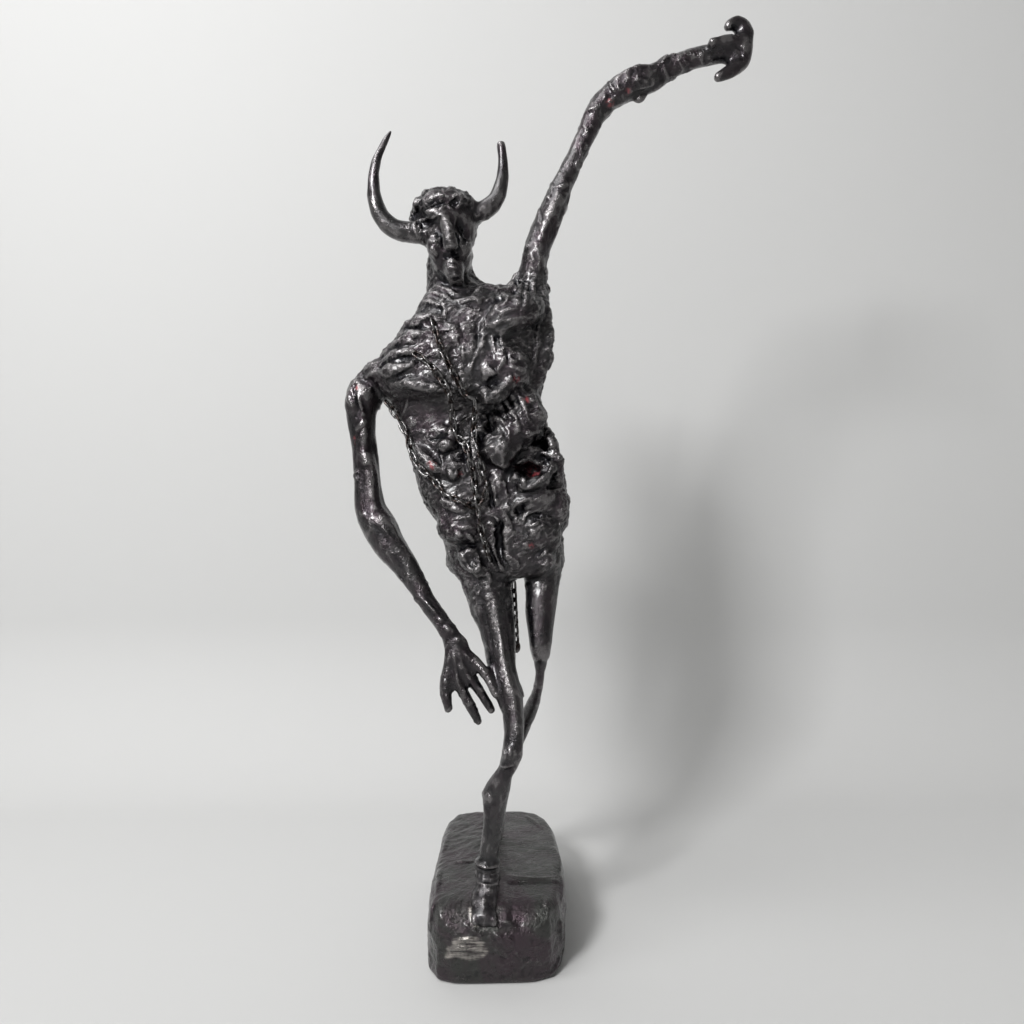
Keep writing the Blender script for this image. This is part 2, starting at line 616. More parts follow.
class Wax:
    """Rolls of wax that lie half sunk in a skin, gathered in one curve until they are fused with it."""

    def __init__(self, skin):
        self.skin = skin
        self.rolls = []
        self.plates = []

    def roll(self, places, radius, height):
        """A roll through places: it swells in its middle and runs into the skin at its ends."""
        stations = []
        line = eased_line(places)
        for index, place in enumerate(line):
            found, normal = self.skin.nearest(place)
            swell = math.sin(math.pi * (index + 0.5) / len(line)) ** 0.6
            thick = radius * (0.6 + 0.4 * swell)
            proud = height * (1.25 * swell - 0.25)
            stations.append((found + normal * (proud - thick), thick))
        self.rolls.append(stations)

    def lay(self, lines):
        """A roll for each of the strokes."""
        for radius, height, pixels in lines.values():
            self.roll([self.skin.seen(*pixel) for pixel in pixels], radius, height)

    def chance_places(self, chance, part, count):
        odds = self.skin.areas * body_weights(self.skin.middles)[:, PARTS.index(part)] ** 2
        starts = chance.choice(len(odds), size=count, p=odds / odds.sum())
        return [Vector(self.skin.middles[start]) for start in starts]

    def scatter(self, chance, part, count, length, radius, height, turn, wander):
        """Rolls at chance places of one part of the body."""
        steps = 6
        for place in self.chance_places(chance, part, count):
            size = chance.uniform(0.6, 1.4)
            angle = math.radians(turn + chance.uniform(-wander, wander))
            bend = math.radians(chance.uniform(-34, 34))
            stride = length * size / steps
            places = []
            for _ in range(steps + 1):
                found, normal = self.skin.nearest(place)
                if (found - place).length > stride * 0.7:
                    break
                places.append(found)
                if turn == 90:
                    along = part_line_heading(part, found)
                    heading = Matrix.Rotation(angle - math.radians(90), 3, normal) @ along
                else:
                    heading = Matrix.Rotation(angle, 3, normal) @ UP.cross(normal)
                heading = heading - normal * heading.dot(normal)
                if heading.length < 1e-6:
                    break
                place = found + heading.normalized() * stride
                angle += bend / steps + math.radians(chance.uniform(-9, 9))
            if len(places) > 2:
                self.roll(places, radius * chance.uniform(0.7, 1.3), height * chance.uniform(0.4, 1.25))

    def ring_seen(self, part, pixel, radius, height):
        """A roll right round a limb, at the level that a pixel shows."""
        found = self.skin.seen(*pixel)
        along = part_line_heading(part, found)
        middle = found + Vector((0.0, 0.012, 0.0))
        side = along.orthogonal().normalized()
        stations = []
        for turn in range(13):
            out = Matrix.Rotation(math.radians(30 * turn), 3, along) @ side
            place, normal = self.skin.nearest(middle + out * 0.014)
            stations.append((place + normal * (height - radius), radius))
        self.rolls.append(stations)

    def press_on(self, chance, part, count, length, width, thick):
        """Thin plates at chance places of one part of the body, each a little tilted."""
        for place in self.chance_places(chance, part, count):
            found, normal = self.skin.nearest(place)
            size = chance.uniform(0.5, 1.4)
            tilt = Vector(chance.uniform(-0.2, 0.2, 3))
            up = (normal + tilt).normalized()
            across = UP.cross(up)
            if across.length < 0.2:
                continue
            heading = Matrix.Rotation(math.radians(chance.uniform(-40, 75)), 3, up) @ across.normalized()
            turn = Matrix((heading, up.cross(heading), up)).transposed().to_4x4()
            reach = heading * length * size / 2
            ends = [found + reach, found - reach, found + up.cross(reach) * width / length]
            if max((self.skin.nearest(end)[0] - end).length for end in ends) > PLATE_LIFT:
                continue
            height = thick * chance.uniform(0.7, 1.2)
            scale = Matrix.Diagonal((length * size / 2, width * size / 2, height / 2, 1.0))
            self.plates.append(Matrix.Translation(found + normal * thick * 0.1) @ turn @ scale)

    def plate_meshes(self):
        """The plates as flattened balls."""
        if not self.plates:
            return []
        bpy.ops.object.select_all(action="DESELECT")
        bpy.ops.mesh.primitive_ico_sphere_add(subdivisions=2, radius=1.0)
        ball = bpy.context.object
        made = []
        for matrix in self.plates:
            plate = bpy.data.objects.new("plate", ball.data.copy())
            bpy.context.scene.collection.objects.link(plate)
            plate.data.transform(matrix)
            made.append(plate)
        bpy.data.objects.remove(ball, do_unlink=True)
        return made

    def to_mesh(self):
        """All rolls as one mesh object."""
        curve = bpy.data.curves.new("wax", "CURVE")
        curve.dimensions = "3D"
        curve.bevel_depth = 1.0
        curve.bevel_resolution = 2
        curve.use_fill_caps = True
        for stations in self.rolls:
            spline = curve.splines.new("POLY")
            spline.points.add(len(stations) - 1)
            for point, (place, thick) in zip(spline.points, stations):
                point.co = (*place, 1.0)
                point.radius = thick
        wax = bpy.data.objects.new("wax", curve)
        bpy.context.scene.collection.objects.link(wax)
        select_only(wax)
        bpy.ops.object.convert(target="MESH")
        return bpy.context.object


def joined(keeper, *others):
    bpy.ops.object.select_all(action="DESELECT")
    for piece in (keeper, *others):
        piece.select_set(True)
    bpy.context.view_layer.objects.active = keeper
    bpy.ops.object.join()
    return keeper


def points_of(piece):
    return read(piece.data.vertices, "co", 3)


def normals_of(piece):
    return read(piece.data.vertices, "normal", 3)


def set_points(piece, points):
    piece.data.vertices.foreach_set("co", points.astype(np.float32).ravel())
    piece.data.update()


def drawn_out(piece, skin, lines, sign):
    """Crests drawn up from the skin, or grooves pressed in, along lines that the photograph shows."""
    points, normals = points_of(piece), normals_of(piece)
    moved = points.copy()
    for reach, height, pixels in lines.values():
        line = eased_line([skin.seen(*pixel) for pixel in pixels])
        gap = np.full(len(points), 1e9)
        ends = np.ones(len(points))
        near = np.ones(len(points), bool)
        for axis in range(3):
            low = min(place[axis] for place in line) - reach
            high = max(place[axis] for place in line) + reach
            near &= (points[:, axis] > low) & (points[:, axis] < high)
        picked = np.where(near)[0]
        if not len(picked):
            continue
        here = points[picked]
        for index, (a, b) in enumerate(zip(line, line[1:])):
            a, b = np.array(a), np.array(b)
            along = b - a
            share = np.clip(((here - a) @ along) / max(along @ along, 1e-12), 0, 1)
            distance = np.linalg.norm(here - a - share[:, None] * along, axis=1)
            closer = distance < gap[picked]
            gap[picked[closer]] = distance[closer]
            way = (index + share[closer]) / (len(line) - 1)
            ends[picked[closer]] = np.sin(np.pi * np.clip(way, 0, 1)) ** 0.6
        strength = np.clip(1 - gap[picked] / reach, 0, 1) * ends[picked]
        moved[picked] += normals[picked] * (sign * height * strength)[:, None]
    set_points(piece, moved)


def vertex_mask(piece, name, values):
    """A vertex group with these values, in steps of a fiftieth."""
    group = piece.vertex_groups.new(name=name)
    steps = np.round(np.clip(values, 0, 1) * 50).astype(int)
    for step in range(1, 51):
        picked = np.where(steps == step)[0]
        if len(picked):
            group.add(picked.tolist(), step / 50, "REPLACE")
    return name


def texture(name, kind, **settings):
    made = bpy.data.textures.new(name, kind)
    for key, value in settings.items():
        setattr(made, key, value)
    return made


def eased_values(piece, values, rounds):
    """Values on a piece's points, each evened out with its neighbours."""
    a, b = read(piece.data.edges, "vertices", 2, int).T
    count = np.bincount(a, minlength=len(values)) + np.bincount(b, minlength=len(values))
    count = np.maximum(count, 1)
    flat = values.reshape(len(values), -1).astype(float)
    for _ in range(rounds):
        total = np.zeros_like(flat)
        for column in range(flat.shape[1]):
            total[:, column] = np.bincount(a, flat[b, column], len(values))
            total[:, column] += np.bincount(b, flat[a, column], len(values))
        flat = 0.35 * flat + 0.65 * total / count[:, None]
    return flat.reshape(values.shape)


def attribute(piece, name, values):
    made = piece.data.attributes.new(name, "FLOAT", "POINT")
    made.data.foreach_set("value", np.clip(values, 0, 1).astype(np.float32))


def ridge_values(piece, fine, broad):
    """From nought in the hollows to one on the ridges, a half on what is flat: fine and broad forms.
    What a whole limb's roundness adds is taken off again, so that only its own relief counts.
    """
    points, normals = points_of(piece), normals_of(piece)
    total = np.zeros(len(points))
    before = points
    for rounds, gain in ((3, fine), (12, broad)):
        before = eased_values(piece, before, rounds)
        height = ((points - before) * normals).sum(axis=1)
        total += gain * height / MM
    return 0.5 + total - eased_values(piece, total, 70)


def sheltered(piece, reach=0.045, rays=9):
    """How far each point lies in a recess, where wax and dirt stay: the share of rays that hit nearby."""
    tree = Skin(piece).tree
    points, normals = points_of(piece), normals_of(piece)
    spread = np.random.default_rng(5).normal(size=(rays, 3))
    spread /= np.linalg.norm(spread, axis=1)[:, None]
    values = np.zeros(len(points))
    for index, (point, normal) in enumerate(zip(points, normals)):
        start = Vector(point + normal * 0.0006)
        for ray in spread:
            way = Vector(ray + normal * 1.05)
            hit = tree.ray_cast(start, way, reach)
            if hit[0] is not None:
                values[index] += 1 - hit[3] / reach
    return eased_values(piece, np.clip(values / rays * 1.5, 0, 1), 2)


def mask_near(piece, skin, spots):
    """One round each spot that is named by a photo pixel, fading to nought at its radius."""
    points = points_of(piece)
    values = np.zeros(len(points))
    for pixel, radius in spots:
        gap = np.linalg.norm(points - np.array(skin.seen(*pixel)), axis=1) / (radius * MM)
        values = np.maximum(values, np.clip(1.3 - gap, 0, 1))
    return values


def finely(pixels):
    """A line of pixels with two more between each two."""
    line = []
    for (x0, y0), (x1, y1) in zip(pixels, pixels[1:]):
        line += [(x0 + (x1 - x0) * k / 3, y0 + (y1 - y0) * k / 3) for k in range(3)]
    return line + [pixels[-1]]


def eased_step(values, low, high):
    """Nought below low, one above high, and an eased way between."""
    share = np.clip((values - low) / (high - low), 0, 1)
    return share * share * (3 - 2 * share)


def pressed(piece, name, mask, strength, grain, stretch=(1, 1, 1), turn=(0, 0, 0), middle=0.35, hard=True):
    """Relief from a noise that is drawn out along a turned axis. A hard one below nought gives dents
    with sharp edges between them, as thumbs and spatulas leave them.
    """
    guide = bpy.data.objects.new(name, None)
    bpy.context.scene.collection.objects.link(guide)
    guide.scale = stretch
    guide.rotation_euler = [math.radians(angle) for angle in turn]
    bpy.context.view_layer.update()
    noise = texture(
        name, "CLOUDS", noise_scale=grain, noise_depth=1, noise_type="HARD_NOISE" if hard else "SOFT_NOISE"
    )
    worked(
        piece, "DISPLACE", texture=noise, texture_coords="OBJECT", texture_coords_object=guide,
        strength=strength, mid_level=middle, vertex_group=mask,
    )
    bpy.data.objects.remove(guide)


def inside_box(piece, margin=0.0001):
    """No point stands outside the solids' own box."""
    low = np.array(SOLID_BOX[0]) + margin
    high = np.array(SOLID_BOX[1]) - margin
    low[2] -= margin
    set_points(piece, np.clip(points_of(piece), low, high))


def roughness_of(piece):
    weights = body_weights(points_of(piece))
    return weights @ np.array([ROUGHNESS[part] for part in PARTS]), weights


def make_figure(base_skin):
    """The figure: the solid's form with its facets eased away, then wax, tool marks and skin."""
    figure = copy_of_node("figure", "bronze_figure")
    worked(figure, "REMESH", mode="VOXEL", voxel_size=FORM_VOXEL)
    points = points_of(figure)
    ankle = (1 - eased_step(points[:, 2], 0.098, 0.108)) * (points[:, 1] < 0)
    kept = 0.6 * body_weights(points)[:, PARTS.index("face")]
    soft = vertex_mask(figure, "soft", 1 - np.maximum(kept, 0.85 * ankle))
    worked(figure, "SMOOTH", factor=0.5, iterations=7, vertex_group=soft)
    skin = Skin(figure)
    wax = Wax(skin)
    wax.lay(FORMS)
    foot = Wax(base_skin)
    foot.lay(FOOT)
    wax.rolls += foot.rolls
    joined(figure, wax.to_mesh())
    worked(figure, "REMESH", mode="VOXEL", voxel_size=FORM_VOXEL)
    worked(figure, "SMOOTH", factor=0.5, iterations=2)
    skin = Skin(figure)
    wax = Wax(skin)
    chance = np.random.default_rng(11)
    wax.lay(ROLLS)
    for pixel in ANKLE_RINGS:
        wax.ring_seen("front_leg", pixel, RING_RADIUS, RING_HEIGHT)
    for part, count, length, radius, height, turn, wander in CHANCE_ROLLS:
        wax.scatter(chance, part, count, length * MM, radius * MM, height * MM, turn, wander)
    for part, count, length, width, thick in CHANCE_PLATES:
        wax.press_on(chance, part, count, length * MM, width * MM, thick * MM)
    joined(figure, wax.to_mesh(), *wax.plate_meshes())
    worked(figure, "REMESH", mode="VOXEL", voxel_size=WAX_VOXEL)
    worked(figure, "SMOOTH", factor=0.5, iterations=1)
    drawn_out(figure, skin, CRESTS, 1)
    drawn_out(figure, skin, GROOVES, -1)
    rough, weights = roughness_of(figure)
    rough = eased_values(figure, rough * (1 - 0.7 * mask_near(figure, skin, CALM_SPOTS)), 6)
    on_body = weights[:, PARTS.index("torso")] + weights[:, PARTS.index("shoulder")]
    on_body = eased_values(figure, on_body, 8)
    across = vertex_mask(figure, "across", rough * on_body)
    along = vertex_mask(figure, "along", rough * (1 - on_body))
    pressed(figure, "broad dents", across, -0.0034, 0.021, (1.5, 1.0, 1.0), (0, -28, 0))
    pressed(figure, "small dents", across, -0.0018, 0.0085, (2.1, 1.0, 1.0), (0, -24, 0))
    pressed(figure, "creases", across, -0.0014, 0.0036, (2.4, 1.0, 1.0), (0, -30, 0), 0.3)
    pressed(figure, "long dents", along, -0.0034, 0.012, (1.0, 1.0, 2.4))
    pressed(figure, "short dents", along, -0.0012, 0.0050, (1.0, 1.0, 1.8))
    every = vertex_mask(figure, "every", np.ones(len(weights)))
    pressed(figure, "swell", every, 0.0012, 0.018, (1, 1, 1.5), middle=0.5, hard=False)
    triangles = sum(len(face.vertices) - 2 for face in figure.data.polygons)
    worked(figure, "DECIMATE", ratio=min(1.0, FIGURE_TRIANGLES / triangles))
    inside_box(figure)
    figure.vertex_groups.clear()
    attribute(figure, "ridge", ridge_values(figure, 0.8, 0.55))
    attribute(figure, "shade", sheltered(figure))
    attribute(figure, "rust", mask_near(figure, skin, RUST_SPOTS))
    attribute(figure, "rough", eased_values(figure, roughness_of(figure)[0], 4))
    return figure


def make_base():
    """The base: the solid's loaf, rounder at its near end, with a brushed top that has a low step in it,
    a rubbed patch of raised streaks at the near end, and a lumpy foot.
    """
    base = copy_of_node("base", "bronze_base")
    worked(base, "REMESH", mode="VOXEL", voxel_size=FORM_VOXEL)
    worked(base, "SMOOTH", factor=0.5, iterations=8)
    points = points_of(base)
    middle = np.array([BASE_LOW.y + NEAR_ROUND, BASE_HIGH.z - NEAR_ROUND])
    out = points[:, 1:] - middle
    length = np.linalg.norm(out, axis=1)
    corner = (out[:, 0] < 0) & (out[:, 1] > 0) & (length > NEAR_ROUND)
    points[corner, 1:] = middle + out[corner] * (NEAR_ROUND / length[corner])[:, None]
    near = eased_step(points[:, 1], STEP_Y + 0.0012, STEP_Y - 0.0012)
    right = eased_step(points[:, 0], STEP_X - 0.002, STEP_X + 0.004)
    top = eased_step(points[:, 2], BASE_HIGH.z - 0.03, BASE_HIGH.z - 0.008)
    points[:, 2] -= STEP_DROP * near * right * top
    set_points(base, points)
    skin = Skin(base)
    wax = Wax(skin)
    wax.lay(BASE_ROLLS)
    wax.lay(WORN_ROLLS)
    joined(base, wax.to_mesh())
    worked(base, "REMESH", mode="VOXEL", voxel_size=BASE_VOXEL)
    worked(base, "SMOOTH", factor=0.5, iterations=1)
    points = points_of(base)
    above = eased_step(points[:, 2], 0.002, 0.008)
    top = above * eased_step(points[:, 2], BASE_HIGH.z - 0.016, BASE_HIGH.z - 0.004)
    right = eased_step(points[:, 0], -0.012, 0.012)
    right_top = vertex_mask(base, "right", top * right)
    left_top = vertex_mask(base, "left", top * (1 - right))
    pressed(base, "right streaks", right_top, -0.0005, 0.0045, (4, 1, 1), (0, 0, 4))
    pressed(base, "left strokes", left_top, -0.0012, 0.009, (2.6, 1, 1), (0, 0, 48))
    sides = vertex_mask(base, "sides", above * (1 - top))
    pressed(base, "side lumps", sides, 0.0022, 0.024, (1.4, 1.4, 1), middle=0.6)
    pressed(base, "side dents", sides, -0.0013, 0.010, middle=0.2)
    every = vertex_mask(base, "above", above)
    pressed(base, "base swell", every, 0.0024, 0.034, middle=0.6, hard=False)
    pressed(base, "base grain", every, 0.0003, 0.0036, middle=0.5)
    inside_box(base)
    base.vertex_groups.clear()
    attribute(base, "ridge", ridge_values(base, 0.8, 0.5))
    attribute(base, "shade", sheltered(base))
    spots = [(pixel, 4.4) for _, _, pixels in WORN_ROLLS.values() for pixel in finely(pixels)]
    attribute(base, "worn", mask_near(base, skin, spots))
    return base, skin


def marched(points, step):
    """Points on a polyline, each the same straight distance from the one before."""
    found = [points[0].copy()]
    here = 0
    while True:
        last = found[-1]
        while here + 1 < len(points) and (points[here + 1] - last).length < step:
            here += 1
        if here + 1 >= len(points):
            return found
        a, b = points[here], points[here + 1]
        if (a - last).length > step:
            a = last
        low, high = 0.0, 1.0
        for _ in range(24):
            middle = (low + high) / 2
            if (a.lerp(b, middle) - last).length < step:
                low = middle
            else:
                high = middle
        found.append(a.lerp(b, high))


def draped(route, tree, clearance):
    """The route as a slack line that rests on the solid's skin and never sinks into it."""
    dense = []
    for a, b in zip(route, route[1:]):
        dense += [a.lerp(b, k / 4) for k in range(4)]
    dense.append(route[-1])
    for _ in range(40):
        eased = [dense[0]]
        for before, here, after in zip(dense, dense[1:], dense[2:]):
            eased.append(here * 0.6 + (before + after) * 0.2)
        eased.append(dense[-1])
        dense = []
        for point in eased:
            near, normal, _, _ = tree.find_nearest(point)
            height = (point - near).dot(normal)
            gap = (point - near).length
            if height < 0:
                point = near + normal * clearance
            elif gap < clearance:
                point = near + (point - near).normalized() * clearance
            elif gap > clearance:
                point = point.lerp(near, min(0.06, (gap - clearance) / gap))
            dense.append(point)
    return dense


def link_shape():
    """One welded link lying in XY along X: a torus drawn out into a long round."""
    radius = LINK_WIRE / 2
    half_width = LINK_WIDTH / 2 - radius
    half_length = LINK_PITCH / 2 + radius
    bpy.ops.object.select_all(action="DESELECT")
    bpy.ops.mesh.primitive_torus_add(
        major_segments=12, minor_segments=5, major_radius=half_width, minor_radius=radius
    )
    link = bpy.context.object
    link.name = "link"
    bpy.ops.object.mode_set(mode="EDIT")
    shape = bmesh.from_edit_mesh(link.data)
    for side in (-1, 1):
        bpy.ops.mesh.select_all(action="DESELECT")
        for vert in shape.verts:
            vert.select = vert.co.x * side > half_width * 0.1
        shape.select_flush_mode()
        bmesh.update_edit_mesh(link.data)
        bpy.ops.transform.translate(value=(side * (half_length - half_width), 0, 0))
    bpy.ops.object.mode_set(mode="OBJECT")
    return link


def link_matrix(start, end, outward, count):
    """A link between two joints of the chain, turned half way up on one side or the other."""
    along = (end - start).normalized()
    side = outward.cross(along).normalized()
    up = along.cross(side)
    turn = Matrix((along, side, up)).transposed().to_4x4()
    roll = math.radians(45 if count % 2 else -45)
    return Matrix.Translation((start + end) / 2) @ turn @ Matrix.Rotation(roll, 4, "X")


def links_between(link, joints, outward):
    """A copy of the link for each step between joints."""
    copies = []
    for count, (start, end) in enumerate(zip(joints, joints[1:])):
        copy = bpy.data.objects.new(f"link_{count}", link.data.copy())
        bpy.context.scene.collection.objects.link(copy)
        copy.data.transform(link_matrix(start, end, outward[count], count))
        copies.append(copy)
    return copies


def make_chain(link, figure):
    """The three strands over the chest, on the routes of the solids, lifted clear of the worked skin."""
    solid = Skin(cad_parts["figure"]).tree
    worked_skin = Skin(figure).tree
    links = []
    meeting = at(*CHAIN_MEETING)
    for name, route in STRANDS.items():
        line = draped([at(*place) for place in route], solid, CHAIN_CLEARANCE)
        if links:
            line.insert(0, meeting)
        line = [lifted(place, worked_skin, CHAIN_CLEARANCE * 0.8) for place in line]
        joints = marched(line, LINK_PITCH)
        if not links:
            meeting = min(joints, key=lambda joint: (joint - meeting).length)
        outward = [worked_skin.find_nearest(joint)[1] for joint in joints]
        links += links_between(link, joints, outward)
    chain = joined(*links)
    chain.name = "steel_chain"
    return chain


def lifted(place, tree, clearance):
    """A place moved out of the skin until it clears it."""
    near, normal, _, _ = tree.find_nearest(place)
    height = (place - near).dot(normal)
    if height < clearance:
        return place + normal * (clearance - height) * 0.8
    return place


def make_tail(link):
    """The loose end of the chain between the legs, with the solid drop that ends it."""
    low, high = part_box("chain_tail")
    top = Vector((TAIL_PLACE[0] * SHARE, TAIL_PLACE[1] * SHARE, high.z - LINK_WIRE * 0.6))
    step = Vector(TAIL_LEAN).normalized() * LINK_PITCH
    joints = [top + step * count for count in range(TAIL_LINKS + 1)]
    outward = [Vector((0.0, -1.0, 0.0))] * len(joints)
    links = links_between(link, joints, outward)
    bpy.ops.object.select_all(action="DESELECT")
    middle = joints[-1] - Vector((0.0, 0.0, DROP_HEIGHT / 2 - LINK_WIRE))
    bpy.ops.mesh.primitive_uv_sphere_add(segments=24, ring_count=16, radius=DROP_WIDTH / 2, location=middle)
    drop = bpy.context.object
    bpy.ops.object.mode_set(mode="EDIT")
    bpy.ops.transform.resize(value=(1.0, 1.0, DROP_HEIGHT / DROP_WIDTH))
    bpy.ops.object.mode_set(mode="OBJECT")
    drop.data.transform(drop.matrix_world)
    drop.matrix_world = Matrix.Identity(4)
    lump = texture("drop lumps", "CLOUDS", noise_scale=0.004, noise_depth=1)
    worked(drop, "DISPLACE", texture=lump, strength=0.0005, mid_level=0.7)
    tail = joined(*links, drop)
    tail.name = "steel_tail"
    return tail


def node_group(name, inputs, outputs):
    """An empty shader group with named sockets, and its two end nodes."""
    group = bpy.data.node_groups.new(name, "ShaderNodeTree")
    for label, kind, value in inputs:
        socket = group.interface.new_socket(label, in_out="INPUT", socket_type=kind)
        if value is not None:
            socket.default_value = value
    for label, kind in outputs:
        group.interface.new_socket(label, in_out="OUTPUT", socket_type=kind)
    start = group.nodes.new("NodeGroupInput")
    end = group.nodes.new("NodeGroupOutput")
    return group, start, end


class Nodes:
    """Short calls to add and link shader nodes in one tree."""

    def __init__(self, tree):
        self.tree = tree

    def add(self, kind, settings=None, **inputs):
        made = self.tree.nodes.new("ShaderNode" + kind)
        for name, value in (settings or {}).items():
            setattr(made, name, value)
        for name, value in inputs.items():
            self.feed(made, name.replace("_", " "), value)
        return made

    def feed(self, node, name, value):
        socket = node.inputs[int(name)] if name.isdigit() else node.inputs[name]
        if isinstance(value, bpy.types.NodeSocket):
            self.tree.links.new(value, socket)
        else:
            socket.default_value = value

    def math(self, operation, a, b, clamp=False):
        made = self.add("Math", {"operation": operation, "use_clamp": clamp})
        self.feed(made, "0", a)
        self.feed(made, "1", b)
        return made.outputs[0]

    def mix(self, factor, a, b):
        made = self.add("Mix", {"data_type": "RGBA"})
        self.feed(made, "0", factor)
        self.feed(made, "6", a)
        self.feed(made, "7", b)
        return made.outputs[2]

    def span(self, value, low, high, to_low=0.0, to_high=1.0):
        made = self.add("MapRange", {"interpolation_type": "SMOOTHSTEP"})
        self.feed(made, "0", value)
        for name, number in zip("1234", (low, high, to_low, to_high)):
            self.feed(made, name, number)
        return made.outputs[0]

    def noise(self, place, scale, detail=4.0, roughness=0.55, distortion=0.0):
        made = self.add("TexNoise", Vector=place, Scale=scale, Detail=detail)
        made.inputs["Roughness"].default_value = roughness
        made.inputs["Distortion"].default_value = distortion
        return made.outputs["Fac"]


def patina_group():
    """Bronze under patina: dark in the hollows, rubbed on the ridges, mottled, with rust where it breaks."""
    group, start, end = node_group(
        "bronze patina",
        [
            ("Place", "NodeSocketVector", None),
            ("Ridge", "NodeSocketFloat", 0.5),
            ("Shade", "NodeSocketFloat", 0.0),
            ("Rust", "NodeSocketFloat", 0.0),
            ("Dark", "NodeSocketColor", (0.004, 0.0035, 0.006, 1)),
            ("Skin", "NodeSocketColor", (0.048, 0.046, 0.047, 1)),
            ("Tint", "NodeSocketColor", (0.045, 0.034, 0.040, 1)),
            ("Rubbed", "NodeSocketColor", (0.155, 0.146, 0.148, 1)),
            ("Rubbing", "NodeSocketFloat", 1.0),
        ],
        [("Color", "NodeSocketColor"), ("Rubbed mask", "NodeSocketFloat"), ("Rust mask", "NodeSocketFloat")],
    )
    n = Nodes(group)
    place = start.outputs["Place"]
    ridge = start.outputs["Ridge"]
    broken = n.noise(place, 160.0, 5.0, 0.6)
    hollow = n.math("MULTIPLY", n.span(ridge, 0.46, 0.05), 0.5)
    hollow = n.math("MAXIMUM", hollow, n.span(start.outputs["Shade"], 0.04, 0.40))
    jitter = n.math("ADD", ridge, n.math("MULTIPLY", n.math("SUBTRACT", broken, 0.5), 0.30))
    raised = n.math("MULTIPLY", n.span(jitter, 0.60, 1.05), start.outputs["Rubbing"], True)
    mottle = n.span(n.noise(place, 22.0, 6.0, 0.65, 0.5), 0.38, 0.68)
    skin = n.mix(mottle, start.outputs["Skin"], start.outputs["Tint"])
    skin = n.mix(hollow, skin, start.outputs["Dark"])
    skin = n.mix(raised, skin, start.outputs["Rubbed"])
    flakes = n.span(n.noise(place, 260.0, 4.0, 0.65), 0.44, 0.60)
    rust = n.math("MULTIPLY", start.outputs["Rust"], flakes, True)
    colour = n.mix(rust, skin, RUST_COLOUR)
    group.links.new(colour, end.inputs["Color"])
    group.links.new(raised, end.inputs["Rubbed mask"])
    group.links.new(rust, end.inputs["Rust mask"])
    return group


def cast_skin_group():
    """The fine skin of a casting: soft ripples, wrinkles and pores, as a normal."""
    group, start, end = node_group(
        "cast skin",
        [
            ("Place", "NodeSocketVector", None),
            ("Roughness", "NodeSocketFloat", 0.5),
            ("Height", "NodeSocketFloat", 1.0),
        ],
        [("Normal", "NodeSocketVector")],
    )
    n = Nodes(group)
    place = start.outputs["Place"]
    ripples = n.noise(place, 130.0, 4.0, 0.55, 0.8)
    folds = n.noise(place, 170.0, 3.0, 0.5, 1.2)
    folds = n.math("ABSOLUTE", n.math("SUBTRACT", folds, 0.5), 0.0)
    wrinkles = n.noise(place, 420.0, 3.0, 0.55, 0.8)
    wrinkles = n.math("ABSOLUTE", n.math("SUBTRACT", wrinkles, 0.5), 0.0)
    height = n.math("SUBTRACT", n.math("MULTIPLY", ripples, 0.7), n.math("MULTIPLY", folds, 1.6))
    height = n.math("SUBTRACT", height, n.math("MULTIPLY", wrinkles, 0.7))
    height = n.math("ADD", height, n.math("MULTIPLY", n.noise(place, 1500.0, 2.0, 0.5), 0.08))
    amount = n.span(start.outputs["Roughness"], 0.0, 1.0, 0.45, 1.0)
    amount = n.math("MULTIPLY", amount, start.outputs["Height"])
    bump = n.add("Bump", Strength=0.9, Distance=0.0014)
    n.feed(bump, "Height", n.math("MULTIPLY", height, amount))
    group.links.new(bump.outputs["Normal"], end.inputs["Normal"])
    return group


def material(name):
    made = bpy.data.materials.new(name)
    made.use_nodes = True
    shader = made.node_tree.nodes["Principled BSDF"]
    return made, shader, Nodes(made.node_tree)


def group_node(n, group):
    made = n.tree.nodes.new("ShaderNodeGroup")
    made.node_tree = group
    return made


